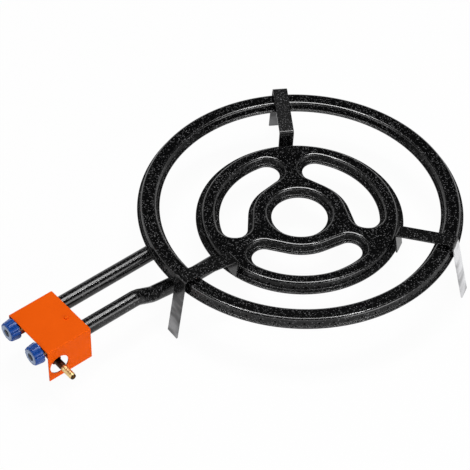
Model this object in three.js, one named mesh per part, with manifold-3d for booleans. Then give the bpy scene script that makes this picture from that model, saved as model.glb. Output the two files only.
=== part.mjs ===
// Two-ring gas paella burner: pressed steel rings, bent flat-bar supports,
// feed tubes, a folded hood over the gas bar, and two taps with fluted knobs.
// Millimetres, +Z up, floor at z = 0, ring axis at x = y = 0, controls toward -Y.
import * as THREE from "three";
import { mergeVertices } from "three/addons/utils/BufferGeometryUtils.js";
import Module from "manifold-3d";

const wasm = await Module();
wasm.setup();

// Shared clearances and stock
const gap = 0.3; // clearance between neighbouring pieces
const runGap = 0.08; // radial clearance of a turning spindle
const overrun = 3; // how far every cutter passes the faces it cuts
const sheet = 1.2; // pressed steel of the burners

// Section of the pressed burners, measured from the edge of the flat top
const foldRadius = 3.4;
const wallRun = 5.3;
const hemHeight = 2 * sheet + gap;

// Outer ring
const outerTop = 93.1;
const outerDepth = 13.8;
const outerFlatIn = 224.3;
const outerFlatWidth = 16.9;
const outerHemRun = 8.8;
const outerFacets = 72;
const outerPorts = 24;

// Inner burner: a ring and a hub joined by three webs
const innerTop = 68.2;
const innerDepth = 13.5;
const innerFlatOut = 147.1;
const innerHemRun = 13.1;
const innerFacets = 60;
const innerPorts = 20;
const rimFlatWidth = 12.4;
const slotHemRun = 10.9;
const slotCount = 3;
const slotAzimuth = 327;
const webHalf = 7.3;
const slotInnerCornerShare = 0.423; // of the slot's width, as is the next
const slotOuterCornerShare = 0.468;
const slotPorts = 5;
const slotPortPitch = 14;
const slotArcSteps = { hub: 4, inner: 3, outer: 5, rim: 10 };
const hubHoleFlat = 54.3;
const hubFlatWidth = 14.2;
const hubFacets = 24;
const portSize = 2.4;

// Bent flat-bar supports: points of the upper and outer skin, as radius and height
const strapWidth = 23.3;
const strapThick = 2.5;
const strapBend = 6;
const strapBendSteps = 3;
const straps = {
  rear: { azimuth: 146.8, offset: 0, lean: 0, legSlope: 0.24, onHem: 0 },
  right: { azimuth: 28, offset: 0, lean: 0, legSlope: 0.24, onHem: 0 },
  front: { azimuth: 266, offset: 35.4, lean: 0.075, legSlope: 0.21, onHem: 5.4 },
};
const tabSlope = 0.138;
const tabBendHeight = 90;
const crownHeight = 104.5;

// Weld beads
const beadLeg = 3;
const beadLength = 10;
const beadShift = 6;

// Feed tubes
const tubeRadius = 12.3;
const tubeWall = 2.3;
const tubeFacets = 24;
const outerTubeX = -77.5;
const innerTubeX = -18.8;
const tubeMouthY = -436;
const tubePastFeed = 11;
const swanNeckStart = -303;
const swanNeckEnd = -275;
const swanNeckDrop = 13;
const slopeEnd = -192;
const neckBend = 28;
const neckSteps = 3;
const feedRadius = 5;
const feedBore = 3.5;
const feedAbove = 3;
const feedBelow = 5;
const feedFacets = 12;
const plugDepth = 4;
const collarThick = 2.4;
const collarLength = 8;

// Hood
const hoodLeft = -95.6;
const hoodRight = 0.2;
const hoodFront = -477;
const hoodBack = -400.5;
const hoodTop = 83.8;
const hoodBottom = 22.9;
const hoodLeftBottom = 29.4;
const hoodSheet = 1.5;
const hoodFold = 1.8;
const hoodFoldSteps = 2;
const sideHoleRadius = 16;
const sideHoleFacets = 24;
const sideHoleZ = 47.5;
const inletY = -458.5;
const inletZ = 50;

// Hood screw, bracket and its screw
const screwX = -38.6;
const screwY = -416;
const screwRadius = 1.9;
const screwHead = 3.2;
const screwHeadHeight = 1.6;
const nutHeight = 4;
const screwTail = 1.5;
const screwFacets = 12;
const hexFacets = 6;
const bracketWidth = 30;
const bracketThick = 2.5;
const bracketBackY = -404;
const bracketLug = 21;
const barScrewDepth = 4;

// Gas bar
const barWidth = 14;
const barMargin = 7; // bar's metal beyond the bore and socket centres
const barBackY = -450;
const barLeft = -90;
const barRight = -6;
const barBore = 4;
const barPlug = 6;
const boreFacets = 12;

// Inlet elbow and hose barb
const elbowRadius = 8;
const elbowLeft = -30;
const elbowRight = -7;
const riserX = -22;
const riserRadius = 6;
const elbowBore = 3;
const barbSocket = 4.2;
const barbSocketDepth = 6;
const barbRootRadius = 5.6;
const barbCrest = 5.3;
const barbValley = 4.6;
const barbTipRadius = 4.2;
const barbBore = 2.8;
const barbTipX = 34.5;
const barbRidges = 4;
const barbRidgePitch = 5.2;
const barbFacets = 16;

// Taps, injectors and knobs
const tapZ = 72.5;
const tapHex = 8;
const tapLength = 9.4;
const tapSpigot = 4.6;
const spigotDepth = 4.5;
const glandHex = 6.2;
const glandLength = 4;
const spindleRadius = 3;
const spindleFacets = 24;
const injectorHex = 5.6;
const injectorLength = 6.5;
const injectorTip = 2;
const injectorTaper = 6;
const injectorBore = 0.8;
const injectorSpigot = 3.6;
const knobRadius = 16.4;
const knobFrontShare = 0.9; // front radius as a share of the back's
const knobFlute = 2;
const knobFlutes = 12;
const knobFluteSteps = 4;
const knobBackY = -479.4;
const knobLength = 13;
const knobBevel = 0.8;
const bezelRadius = 13.6;
const bezelInner = 4.6;
const bezelThick = 2.2;
const capThick = 1.4;
const capScrew = 2.4;

// Derived sizes
const up = 90;
const outerFlatOut = outerFlatIn + outerFlatWidth;
const outerHem = outerFlatOut + outerHemRun;
const outerHemTop = outerTop - outerDepth + hemHeight;
const slotFlatOut = innerFlatOut - rimFlatWidth;
const slotFlatHub = hubHoleFlat + hubFlatWidth;
const slotInnerCentre = (slotFlatHub + slotFlatOut) / 2;
const slotInnerCorner = slotInnerCornerShare * (slotFlatOut - slotFlatHub);
const slotOuterCorner = slotOuterCornerShare * (slotFlatOut - slotFlatHub);
const innerHem = innerFlatOut + innerHemRun;
const innerHemTop = innerTop - innerDepth + hemHeight;
const outerFeedRadius = (outerFlatIn + outerFlatOut) / 2;
const innerFeedRadius = (slotFlatOut + innerFlatOut) / 2;
const outerTubeEnd = outerFeedRadius - tubePastFeed;
const innerTubeEnd = innerFeedRadius - tubePastFeed;
const barFrontY = barBackY - barWidth;
const barY = (barBackY + barFrontY) / 2;
const outerTubeZ = outerTop - outerDepth - gap - tubeRadius;
const innerTubeZ = innerTop - innerDepth - gap - tubeRadius;
const barTop = tapZ + barMargin;
const barBottom = outerTubeZ - barMargin;
const spindleHole = spindleRadius + runGap;
const tapXs = { outer: outerTubeX, inner: innerTubeX };

function material(color, roughness, metalness) {
  return new THREE.MeshStandardMaterial({ color, roughness, metalness });
}

const enamel = () => material(0x0b0b0c, 0.25, 0);
const orangePaint = () => material(0xeb5a0a, 0.45, 0);
const brass = () => material(0xc79a4a, 0.3, 1);
const steel = () => material(0x9a9c9f, 0.35, 1);
const bluePlastic = () => material(0x1c4fae, 0.4, 0);
const palePlastic = () => material(0x9fb3cf, 0.4, 0);
const darkPlastic = () => material(0x1a1c20, 0.5, 0);

const root = new THREE.Group();

// Adds one named mesh to the scene and returns it
function add(name, geometry, look) {
  const mesh = new THREE.Mesh(geometry, look);
  mesh.name = name;
  root.add(mesh);
  return mesh;
}

function radians(degrees) {
  return THREE.MathUtils.degToRad(degrees);
}

// Radius of the corners of a regular outline whose flats lie at the given radius
function cornerRadius(radius, facets) {
  return radius / Math.cos(Math.PI / facets);
}

// Turns a geometry into a manifold solid
function solid(geometry) {
  const plain = geometry.clone();
  plain.deleteAttribute("normal");
  plain.deleteAttribute("uv");
  const merged = mergeVertices(plain);
  const triVerts = new Uint32Array(merged.index.array);
  const vertProperties = new Float32Array(merged.attributes.position.array);
  return new wasm.Manifold(new wasm.Mesh({ numProp: 3, vertProperties, triVerts }));
}

// Turns a manifold solid back into a geometry
function geometryOf(body) {
  const mesh = body.getMesh();
  const geometry = new THREE.BufferGeometry();
  const points = new Float32Array(mesh.vertProperties);
  geometry.setAttribute("position", new THREE.BufferAttribute(points, mesh.numProp));
  geometry.setIndex(new THREE.BufferAttribute(new Uint32Array(mesh.triVerts), 1));
  geometry.computeVertexNormals();
  return geometry;
}

// Cuts every tool out of the first geometry
function cut(geometry, tools) {
  let body = solid(geometry);
  for (const tool of tools) {
    body = body.subtract(solid(tool));
  }
  return geometryOf(body);
}

function join(geometries) {
  return geometryOf(geometries.map(solid).reduce((whole, next) => whole.add(next)));
}

// Closed solid of revolution about the Y axis through (x, z); profile as [radius, y]
function lathe(profile, facets, x, z) {
  const points = profile.map(([radius, y]) => new THREE.Vector2(radius, y));
  return new THREE.LatheGeometry(points, facets).translate(x, 0, z);
}

// Cylinder from one point to another along a main axis
function rod(radius, facets, from, to) {
  const start = new THREE.Vector3(...from);
  const end = new THREE.Vector3(...to);
  const along = end.clone().sub(start);
  const geometry = new THREE.CylinderGeometry(radius, radius, along.length(), facets);
  const turn = new THREE.Quaternion();
  turn.setFromUnitVectors(new THREE.Vector3(0, 1, 0), along.clone().normalize());
  geometry.applyQuaternion(turn);
  const middle = start.add(end).multiplyScalar(0.5);
  return geometry.translate(middle.x, middle.y, middle.z);
}

// Box between two opposite corners
function block(low, high) {
  const size = high.map((value, axis) => value - low[axis]);
  const middle = high.map((value, axis) => (value + low[axis]) / 2);
  return new THREE.BoxGeometry(...size).translate(...middle);
}

// Points of an arc with their unit normals; sense 1 points away from the centre
function arc(centre, radius, from, to, steps, sense) {
  const points = [];
  for (let step = 0; step <= steps; step += 1) {
    const angle = radians(from + ((to - from) * step) / steps);
    const x = Math.cos(angle);
    const y = Math.sin(angle);
    points.push({ x: centre.x + radius * x, y: centre.y + radius * y, nx: sense * x, ny: sense * y });
  }
  return points;
}

function circleContour(radius, facets, sense) {
  const turn = sense * 360;
  return arc({ x: 0, y: 0 }, radius, 0, turn, facets, sense).slice(0, facets);
}

function polar(radius, azimuth) {
  const angle = radians(azimuth);
  return { x: radius * Math.cos(angle), y: radius * Math.sin(angle) };
}

// Flat edge of one opening between the hub, two webs and the ring
function slotContour(azimuth) {
  const web = 180 / slotCount;
  const innerLean = THREE.MathUtils.radToDeg(Math.asin((webHalf + slotInnerCorner) / slotInnerCentre));
  const outerCentre = slotFlatOut - slotOuterCorner;
  const outerLean = THREE.MathUtils.radToDeg(Math.asin((webHalf + slotOuterCorner) / outerCentre));
  const reach = (slotFlatHub + slotInnerCorner) / slotInnerCentre;
  const hubLean = web - innerLean - THREE.MathUtils.radToDeg(Math.acos(reach));
  const innerSpan = web - innerLean;
  const outerSpan = web - outerLean;
  const toWeb = web + up;
  const steps = slotArcSteps;
  const axis = { x: 0, y: 0 };
  const points = arc(axis, slotFlatHub, azimuth - hubLean, azimuth + hubLean, steps.hub, 1);
  const half = [
    [polar(slotInnerCentre, azimuth + innerSpan), slotInnerCorner, hubLean + 2 * up, toWeb, steps.inner],
    [polar(outerCentre, azimuth + outerSpan), slotOuterCorner, toWeb, outerSpan, steps.outer],
  ];
  for (const [centre, radius, from, to, count] of half) {
    points.push(...arc(centre, radius, azimuth + from, azimuth + to, count, -1));
  }
  points.push(...arc(axis, slotFlatOut, azimuth + outerSpan, azimuth - outerSpan, steps.rim, -1).slice(1, -1));
  const back = [
    [polar(outerCentre, azimuth - outerSpan), slotOuterCorner, -outerSpan, -toWeb, steps.outer],
    [polar(slotInnerCentre, azimuth - innerSpan), slotInnerCorner, -toWeb, -hubLean - 2 * up, steps.inner],
  ];
  for (const [centre, radius, from, to, count] of back) {
    points.push(...arc(centre, radius, azimuth + from, azimuth + to, count, -1));
  }
  return points;
}

// Pressed sheet: each contour swept through rows of [run, height], closed by two flats
function pressed(contours) {
  const positions = [];
  const index = [];
  const firsts = [];
  const rowCount = contours[0].rows.length;
  for (const { points, rows } of contours) {
    const first = positions.length / 3;
    firsts.push(first);
    for (const [run, height] of rows) {
      for (const point of points) {
        positions.push(point.x + run * point.nx, point.y + run * point.ny, height);
      }
    }
    for (let row = 0; row + 1 < rowCount; row += 1) {
      for (let side = 0; side < points.length; side += 1) {
        const next = (side + 1) % points.length;
        const a = first + row * points.length + side;
        const b = first + row * points.length + next;
        const c = b + points.length;
        const d = a + points.length;
        index.push(a, d, b, b, d, c);
      }
    }
  }
  for (const row of [0, rowCount - 1]) {
    const ids = [];
    const outlines = contours.map(({ points, rows }, which) => {
      const [run] = rows[row];
      return points.map((point, side) => {
        ids.push(firsts[which] + row * points.length + side);
        return new THREE.Vector2(point.x + run * point.nx, point.y + run * point.ny);
      });
    });
    for (const [a, b, c] of THREE.ShapeUtils.triangulateShape(outlines[0], outlines.slice(1))) {
      index.push(...(row === 0 ? [ids[a], ids[b], ids[c]] : [ids[a], ids[c], ids[b]]));
    }
  }
  const geometry = new THREE.BufferGeometry();
  geometry.setAttribute("position", new THREE.Float32BufferAttribute(positions, 3));
  geometry.setIndex(index);
  return geometry;
}

// Rows of the domed shell: over the fold, down the wall, out on the flange and back
function shellRows(top, depth, hemRun) {
  const flange = hemRun - sheet - gap;
  const flangeTop = top - depth + hemHeight;
  const bend = foldRadius * Math.SQRT1_2;
  return [
    [0, top],
    [bend, top - foldRadius + bend],
    [foldRadius, top - foldRadius],
    [wallRun, flangeTop],
    [flange, flangeTop],
    [flange, flangeTop - sheet],
    [wallRun - sheet, flangeTop - sheet],
    [foldRadius - sheet, top - foldRadius],
    [0, top - sheet],
  ];
}

// Rows of the floor plate, whose turned-up lip wraps the flange
function floorRows(top, depth, hemRun) {
  const bottom = top - depth;
  return [
    [hemRun - sheet, bottom + sheet],
    [hemRun - sheet, bottom + hemHeight],
    [hemRun, bottom + hemHeight],
    [hemRun, bottom],
  ];
}

function outerContours(rows) {
  const shape = rows(outerTop, outerDepth, outerHemRun);
  return [
    { points: circleContour(outerFlatOut, outerFacets, 1), rows: shape },
    { points: circleContour(outerFlatIn, outerFacets, -1), rows: shape },
  ];
}

function innerContours(rows) {
  const shape = rows(innerTop, innerDepth, slotHemRun);
  const contours = [
    {
      points: circleContour(innerFlatOut, innerFacets, 1),
      rows: rows(innerTop, innerDepth, innerHemRun),
    },
  ];
  for (let slot = 0; slot < slotCount; slot += 1) {
    contours.push({ points: slotContour(slotAzimuth + (slot * 360) / slotCount), rows: shape });
  }
  contours.push({ points: circleContour(hubHoleFlat, hubFacets, -1), rows: shape });
  return contours;
}

// Square flame port through the wall whose flat edge lies at the given radius
function port(flatRadius, side, azimuth, top, depth) {
  const run = (foldRadius + wallRun - sheet) / 2;
  const height = top - (foldRadius + depth - hemHeight) / 2;
  const geometry = new THREE.BoxGeometry(wallRun + overrun, portSize, portSize);
  geometry.translate(flatRadius + side * run, 0, height);
  return geometry.rotateZ(radians(azimuth));
}

function ringPorts(flatRadius, side, count, facets, top, depth) {
  const tools = [];
  for (let index = 0; index < count; index += 1) {
    const facet = Math.round((index * facets) / count);
    tools.push(port(flatRadius, side, ((facet + 0.5) * 360) / facets, top, depth));
  }
  return tools;
}

function slotRimPorts() {
  const tools = [];
  for (let slot = 0; slot < slotCount; slot += 1) {
    for (let index = 0; index < slotPorts; index += 1) {
      const azimuth = slotAzimuth + (slot * 360) / slotCount + (index - (slotPorts - 1) / 2) * slotPortPitch;
      tools.push(port(slotFlatOut, -1, azimuth, innerTop, innerDepth));
    }
  }
  return tools;
}

function outerShell() {
  const tools = [
    ...ringPorts(outerFlatOut, 1, outerPorts, outerFacets, outerTop, outerDepth),
    ...ringPorts(outerFlatIn, -1, outerPorts, outerFacets, outerTop, outerDepth),
  ];
  add("outer_ring_shell", cut(pressed(outerContours(shellRows)), tools), enamel());
}

function innerShell() {
  const tools = [
    ...ringPorts(innerFlatOut, 1, innerPorts, innerFacets, innerTop, innerDepth),
    ...slotRimPorts(),
  ];
  add("inner_burner_shell", cut(pressed(innerContours(shellRows)), tools), enamel());
}

// Place on a tube where its feed neck enters the ring above
function feedY(x, radius) {
  return -Math.sqrt(radius * radius - x * x);
}

function feedHole(x, radius, level) {
  const y = feedY(x, radius);
  const size = cornerRadius(feedRadius + gap, feedFacets);
  return rod(size, feedFacets, [x, y, level - feedBelow - overrun], [x, y, level + overrun]);
}

function outerFloor() {
  const bottom = outerTop - outerDepth;
  const plate = pressed(outerContours(floorRows));
  add("outer_ring_floor", cut(plate, [feedHole(outerTubeX, outerFeedRadius, bottom)]), enamel());
}

function innerFloor() {
  const bottom = innerTop - innerDepth;
  const plate = pressed(innerContours(floorRows));
  add("inner_burner_floor", cut(plate, [feedHole(innerTubeX, innerFeedRadius, bottom)]), enamel());
}

// Rounds the corners of a line of [across, height] points, which all turn clockwise
function bentLine(corners, radius, offset) {
  const points = [];
  corners.forEach(([x, y], which) => {
    const before = corners[which - 1];
    const after = corners[which + 1];
    const seg = after ? [after[0] - x, after[1] - y] : [x - before[0], y - before[1]];
    const angleOut = Math.atan2(seg[1], seg[0]);
    const angleIn = before ? Math.atan2(y - before[1], x - before[0]) : angleOut;
    if (!before || !after) {
      points.push([x + offset * Math.sin(angleOut), y - offset * Math.cos(angleOut)]);
      return;
    }
    const half = (angleIn - angleOut) / 2;
    const toCentre = (angleIn + angleOut) / 2 - Math.PI / 2;
    const far = radius / Math.cos(half);
    const centre = [x + far * Math.cos(toCentre), y + far * Math.sin(toCentre)];
    for (let step = 0; step <= strapBendSteps; step += 1) {
      const angle = angleIn + ((angleOut - angleIn) * step) / strapBendSteps + Math.PI / 2;
      const size = radius - offset;
      points.push([centre[0] + size * Math.cos(angle), centre[1] + size * Math.sin(angle)]);
    }
  });
  return points;
}

// How far out a hem reaches along the edge of a strap nearest to the axis
function hemReach(hem, offset) {
  const near = Math.max(Math.abs(offset) - strapWidth / 2, 0);
  return Math.sqrt(hem * hem - near * near);
}

// Level thickness of a strap's sloping leg
function legThrough({ legSlope }) {
  return strapThick * Math.hypot(1, legSlope);
}

// How far out a strap's outer skin is on its leg at a height
function legReach(support, height) {
  const atHem = hemReach(outerHem, support.offset) + gap + legThrough(support);
  return atHem + support.legSlope * (outerHemTop - height);
}

// How far out a strap's inner skin is on its tab at a height
function tabReach(support, height) {
  const atHem = hemReach(innerHem, support.offset) + gap - support.onHem;
  return atHem + tabSlope * (innerHemTop - height);
}

// Solid drawn as [reach, height], given a width, set aside and turned to an azimuth
function radialPrism(outline, width, aside, azimuth) {
  const shape = new THREE.Shape(outline.map(([reach, height]) => new THREE.Vector2(reach, height)));
  const geometry = new THREE.ExtrudeGeometry(shape, { depth: width, bevelEnabled: false });
  geometry.translate(0, 0, -width / 2 - aside).rotateX(radians(up));
  return geometry.rotateZ(radians(azimuth));
}

function strap(name, support) {
  const tabEnd = (support.onHem > 0 ? innerHemTop : innerTop - innerDepth) + gap;
  const skin = [
    [tabReach(support, tabEnd), tabEnd],
    [tabReach(support, tabBendHeight), tabBendHeight],
    [legReach(support, crownHeight), crownHeight],
    [legReach(support, -overrun), -overrun],
  ];
  const outline = bentLine(skin, strapBend, 0).concat(bentLine(skin, strapBend, strapThick).reverse());
  const bar = radialPrism(outline, strapWidth, support.offset, 0);
  const places = bar.attributes.position;
  const middle = (tabReach(support, crownHeight) + legReach(support, crownHeight)) / 2;
  for (let vertex = 0; vertex < places.count; vertex += 1) {
    const fall = places.getX(vertex) > middle ? crownHeight - places.getZ(vertex) : 0;
    places.setY(vertex, places.getY(vertex) + support.lean * fall);
  }
  bar.rotateZ(radians(support.azimuth));
  const reach = legReach(support, 0) + strapWidth;
  const under = block([-reach, -reach, -reach], [reach, reach, 0]);
  add("support_" + name, cut(bar, [under]), enamel());
}

// Bead under the outer hem against the leg, and bead on the inner hem against the tab
function strapWelds(name, support) {
  const low = outerTop - outerDepth - gap;
  const legIn = legReach(support, low) - legThrough(support) - gap;
  const outer = [
    [legIn, low],
    [legIn - beadLeg, low],
    [legIn, low - beadLeg],
  ];
  const outerAside = support.offset + support.lean * (crownHeight - low);
  add("weld_outer_" + name, radialPrism(outer, beadLength, outerAside, support.azimuth), enamel());
  const high = innerHemTop + gap;
  const tabIn = tabReach(support, high + beadLeg) - gap;
  const inner = [
    [tabIn, high],
    [tabIn, high + beadLeg],
    [tabIn - beadLeg, high],
  ];
  const innerAside = support.offset + Math.sign(support.offset) * beadShift;
  add("weld_inner_" + name, radialPrism(inner, beadLength, innerAside, support.azimuth), enamel());
}

// Tube along [y, z] points in the plane at x, with rounded bends, one closed solid
function bentTube(x, corners, outer, inner) {
  const line = [];
  corners.forEach(([y, z], which) => {
    const before = corners[which - 1];
    const after = corners[which + 1];
    if (!before || !after) {
      line.push([y, z]);
      return;
    }
    const angleIn = Math.atan2(z - before[1], y - before[0]);
    const angleOut = Math.atan2(after[1] - z, after[0] - y);
    const turn = angleOut - angleIn;
    const side = Math.sign(turn);
    const trim = neckBend * Math.tan(Math.abs(turn) / 2);
    const start = [y - trim * Math.cos(angleIn), z - trim * Math.sin(angleIn)];
    const centre = [
      start[0] - side * neckBend * Math.sin(angleIn),
      start[1] + side * neckBend * Math.cos(angleIn),
    ];
    for (let step = 0; step <= neckSteps; step += 1) {
      const angle = angleIn + (turn * step) / neckSteps - (side * Math.PI) / 2;
      line.push([centre[0] + neckBend * Math.cos(angle), centre[1] + neckBend * Math.sin(angle)]);
    }
  });
  const positions = [];
  const rings = line.length;
  for (const radius of [outer, inner]) {
    line.forEach(([y, z], which) => {
      const from = line[Math.max(which - 1, 0)];
      const to = line[Math.min(which + 1, rings - 1)];
      const lean = Math.atan2(to[1] - from[1], to[0] - from[0]);
      for (let side = 0; side < tubeFacets; side += 1) {
        const angle = ((side + 0.5) * 2 * Math.PI) / tubeFacets;
        const rise = radius * Math.sin(angle);
        positions.push(x - radius * Math.cos(angle), y - rise * Math.sin(lean), z + rise * Math.cos(lean));
      }
    });
  }
  const index = [];
  const skin = rings * tubeFacets;
  for (let side = 0; side < tubeFacets; side += 1) {
    const next = (side + 1) % tubeFacets;
    for (let ring = 0; ring + 1 < rings; ring += 1) {
      const a = ring * tubeFacets + side;
      const b = ring * tubeFacets + next;
      const c = b + tubeFacets;
      const d = a + tubeFacets;
      index.push(a, b, d, b, c, d);
      index.push(skin + a, skin + d, skin + b, skin + b, skin + d, skin + c);
    }
    const last = (rings - 1) * tubeFacets;
    index.push(side, skin + side, next, next, skin + side, skin + next);
    index.push(last + side, last + next, skin + last + side);
    index.push(last + next, skin + last + next, skin + last + side);
  }
  const geometry = new THREE.BufferGeometry();
  geometry.setAttribute("position", new THREE.Float32BufferAttribute(positions, 3));
  geometry.setIndex(index);
  return geometry;
}

function feedTube(name, x, corners, feedAt) {
  const z = corners[corners.length - 1][1];
  const tube = bentTube(x, corners, tubeRadius, tubeRadius - tubeWall);
  add("feed_tube_" + name, cut(tube, [feedHole(x, feedAt, z + tubeRadius)]), enamel());
  const end = corners[corners.length - 1][0];
  const plugRadius = (tubeRadius - tubeWall) * Math.cos(Math.PI / tubeFacets) - gap;
  add("tube_end_plug_" + name, rod(plugRadius, tubeFacets, [x, end - plugDepth, z], [x, end, z]), enamel());
  feedNeck(name, x, feedY(x, feedAt), z + tubeRadius + gap);
}

// Short sleeve from the tube through the floor plate, seated on both hole edges
function feedNeck(name, x, y, level) {
  const sleeve = rod(feedRadius, feedFacets, [x, y, level - feedBelow], [x, y, level + feedAbove]);
  const bore = rod(
    feedBore,
    feedFacets,
    [x, y, level - feedBelow - overrun],
    [x, y, level + feedAbove + overrun],
  );
  add("feed_neck_" + name, cut(sleeve, [bore]), steel());
}

function outerTube() {
  const end = feedY(outerTubeX, outerTubeEnd);
  const corners = [
    [tubeMouthY, outerTubeZ],
    [end, outerTubeZ],
  ];
  feedTube("outer", outerTubeX, corners, outerFeedRadius);
}

function innerTube() {
  const corners = [
    [tubeMouthY, outerTubeZ],
    [swanNeckStart, outerTubeZ],
    [swanNeckEnd, outerTubeZ - swanNeckDrop],
    [slopeEnd, innerTubeZ],
    [feedY(innerTubeX, innerTubeEnd), innerTubeZ],
  ];
  feedTube("inner", innerTubeX, corners, innerFeedRadius);
}

// Bead on the tube's crown against the hem that rests on it
function tubeWeld(name, x, hemRadius, bottom) {
  const y = -Math.sqrt(hemRadius * hemRadius - x * x) - gap - beadLeg / 2;
  const outline = [
    [y + beadLeg / 2, bottom],
    [y - beadLeg / 2, bottom],
    [y + beadLeg / 2, bottom + beadLeg],
  ];
  const shape = new THREE.Shape(outline.map(([across, height]) => new THREE.Vector2(across, height)));
  const bead = new THREE.ExtrudeGeometry(shape, { depth: beadLeg, bevelEnabled: false });
  bead.translate(0, 0, -beadLeg / 2).rotateX(radians(up)).rotateZ(radians(up)).translate(x, 0, 0);
  add("weld_tube_" + name, bead, enamel());
}

// Weld collar on a tube inside the hood's back panel
function collar(name, x) {
  const facets = tubeFacets;
  const front = hoodBack - hoodSheet - gap;
  const inner = cornerRadius(tubeRadius + gap, facets);
  const profile = [
    [inner, front],
    [inner, front - collarLength],
    [inner + collarThick, front - collarLength],
    [inner + collarThick, front],
    [inner, front],
  ];
  add("tube_collar_" + name, lathe(profile, facets, x, outerTubeZ), steel());
}

function hood() {
  const rise = hoodTop - hoodFold;
  const outline = [[hoodLeft, hoodLeftBottom]];
  for (const [side, from] of [
    [hoodLeft + hoodFold, 2 * up],
    [hoodRight - hoodFold, up],
  ]) {
    for (let step = 0; step <= hoodFoldSteps; step += 1) {
      const angle = radians(from - (up * step) / hoodFoldSteps);
      outline.push([side + hoodFold * Math.cos(angle), rise + hoodFold * Math.sin(angle)]);
    }
  }
  outline.push([hoodRight, hoodBottom]);
  const shape = new THREE.Shape(outline.reverse().map(([x, z]) => new THREE.Vector2(x, z)));
  const depth = hoodBack - hoodFront;
  const shell = new THREE.ExtrudeGeometry(shape, { depth, bevelEnabled: false });
  shell.rotateX(radians(up)).translate(0, hoodBack, 0);
  const hollow = block(
    [hoodLeft + hoodSheet, hoodFront - overrun, hoodBottom - overrun],
    [hoodRight - hoodSheet, hoodBack - hoodSheet, hoodTop - hoodSheet],
  );
  const tools = [hollow];
  const tubeHole = cornerRadius(tubeRadius + gap, tubeFacets);
  for (const x of Object.values(tapXs)) {
    tools.push(
      rod(
        tubeHole,
        tubeFacets,
        [x, hoodBack - hoodSheet - overrun, outerTubeZ],
        [x, hoodBack + overrun, outerTubeZ],
      ),
    );
  }
  tools.push(
    rod(
      sideHoleRadius,
      sideHoleFacets,
      [hoodRight - hoodSheet - overrun, inletY, sideHoleZ],
      [hoodRight + overrun, inletY, sideHoleZ],
    ),
  );
  const screwHole = cornerRadius(screwRadius + gap, screwFacets);
  tools.push(
    rod(
      screwHole,
      screwFacets,
      [screwX, screwY, hoodTop - hoodSheet - overrun],
      [screwX, screwY, hoodTop + overrun],
    ),
  );
  add("hood", cut(shell, tools), orangePaint());
}

// Angle bracket that hangs the gas bar under the hood's top
function bracket() {
  const top = hoodTop - hoodSheet - gap;
  const lugFront = barBackY + gap;
  const centre = (outerTubeX + innerTubeX) / 2;
  const left = centre - bracketWidth / 2;
  const right = centre + bracketWidth / 2;
  const plate = block([left, lugFront, top - bracketThick], [right, bracketBackY, top]);
  const lug = block([left, lugFront, top - bracketLug], [right, lugFront + bracketThick, top]);
  const hole = cornerRadius(screwRadius + gap, screwFacets);
  const tools = [
    rod(hole, screwFacets, [screwX, screwY, top - bracketThick - overrun], [screwX, screwY, top + overrun]),
    rod(
      hole,
      screwFacets,
      [centre, lugFront - overrun, outerTubeZ],
      [centre, lugFront + bracketThick + overrun, outerTubeZ],
    ),
  ];
  add("bar_bracket", cut(join([plate, lug]), tools), steel());
}

function hoodScrew() {
  const seat = hoodTop + gap;
  const under = hoodTop - hoodSheet - gap - bracketThick - gap;
  const end = under - nutHeight - screwTail;
  const head = rod(screwHead, screwFacets, [screwX, screwY, seat], [screwX, screwY, seat + screwHeadHeight]);
  const shank = rod(screwRadius, screwFacets, [screwX, screwY, end], [screwX, screwY, seat + gap]);
  add("hood_screw", join([head, shank]), steel());
  const nut = rod(screwHead + gap, hexFacets, [screwX, screwY, under - nutHeight], [screwX, screwY, under]);
  const hole = cornerRadius(screwRadius + gap, screwFacets);
  const bore = rod(hole, screwFacets, [screwX, screwY, end - overrun], [screwX, screwY, under + overrun]);
  add("hood_screw_nut", cut(nut, [bore]), steel());
}

function barScrew() {
  const x = (outerTubeX + innerTubeX) / 2;
  const seat = barBackY + gap + bracketThick + gap;
  const z = outerTubeZ;
  const head = rod(screwHead, hexFacets, [x, seat, z], [x, seat + screwHeadHeight, z]);
  const shank = rod(screwRadius, screwFacets, [x, barBackY - barScrewDepth + gap, z], [x, seat + gap, z]);
  add("bar_screw", join([head, shank]), steel());
}

// Square bar with a gas bore, a riser hole, and sockets for taps, injectors and screw
function gasBar() {
  const bar = block([barLeft, barFrontY, barBottom], [barRight, barBackY, barTop]);
  const level = outerTubeZ;
  const bore = rod(barBore, boreFacets, [barLeft - overrun, barY, level], [barRight - barPlug, barY, level]);
  const tools = [bore];
  for (const x of Object.values(tapXs)) {
    const front = cornerRadius(tapSpigot + gap, boreFacets);
    const back = cornerRadius(injectorSpigot + gap, boreFacets);
    tools.push(rod(front, boreFacets, [x, barFrontY - overrun, tapZ], [x, barY, tapZ]));
    tools.push(rod(back, boreFacets, [x, barY - gap, level], [x, barBackY + overrun, level]));
  }
  tools.push(rod(elbowBore, boreFacets, [riserX, barY, barBottom - overrun], [riserX, barY, level]));
  const screwAt = (outerTubeX + innerTubeX) / 2;
  const hole = cornerRadius(screwRadius + gap, screwFacets);
  const deep = barBackY - barScrewDepth;
  tools.push(rod(hole, screwFacets, [screwAt, deep, level], [screwAt, barBackY + overrun, level]));
  add("gas_bar", cut(bar, tools), enamel());
  const plug = barBore * Math.cos(Math.PI / boreFacets) - gap;
  add("gas_bar_plug", rod(plug, boreFacets, [barLeft, barY, level], [barLeft + barPlug, barY, level]), steel());
}

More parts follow.
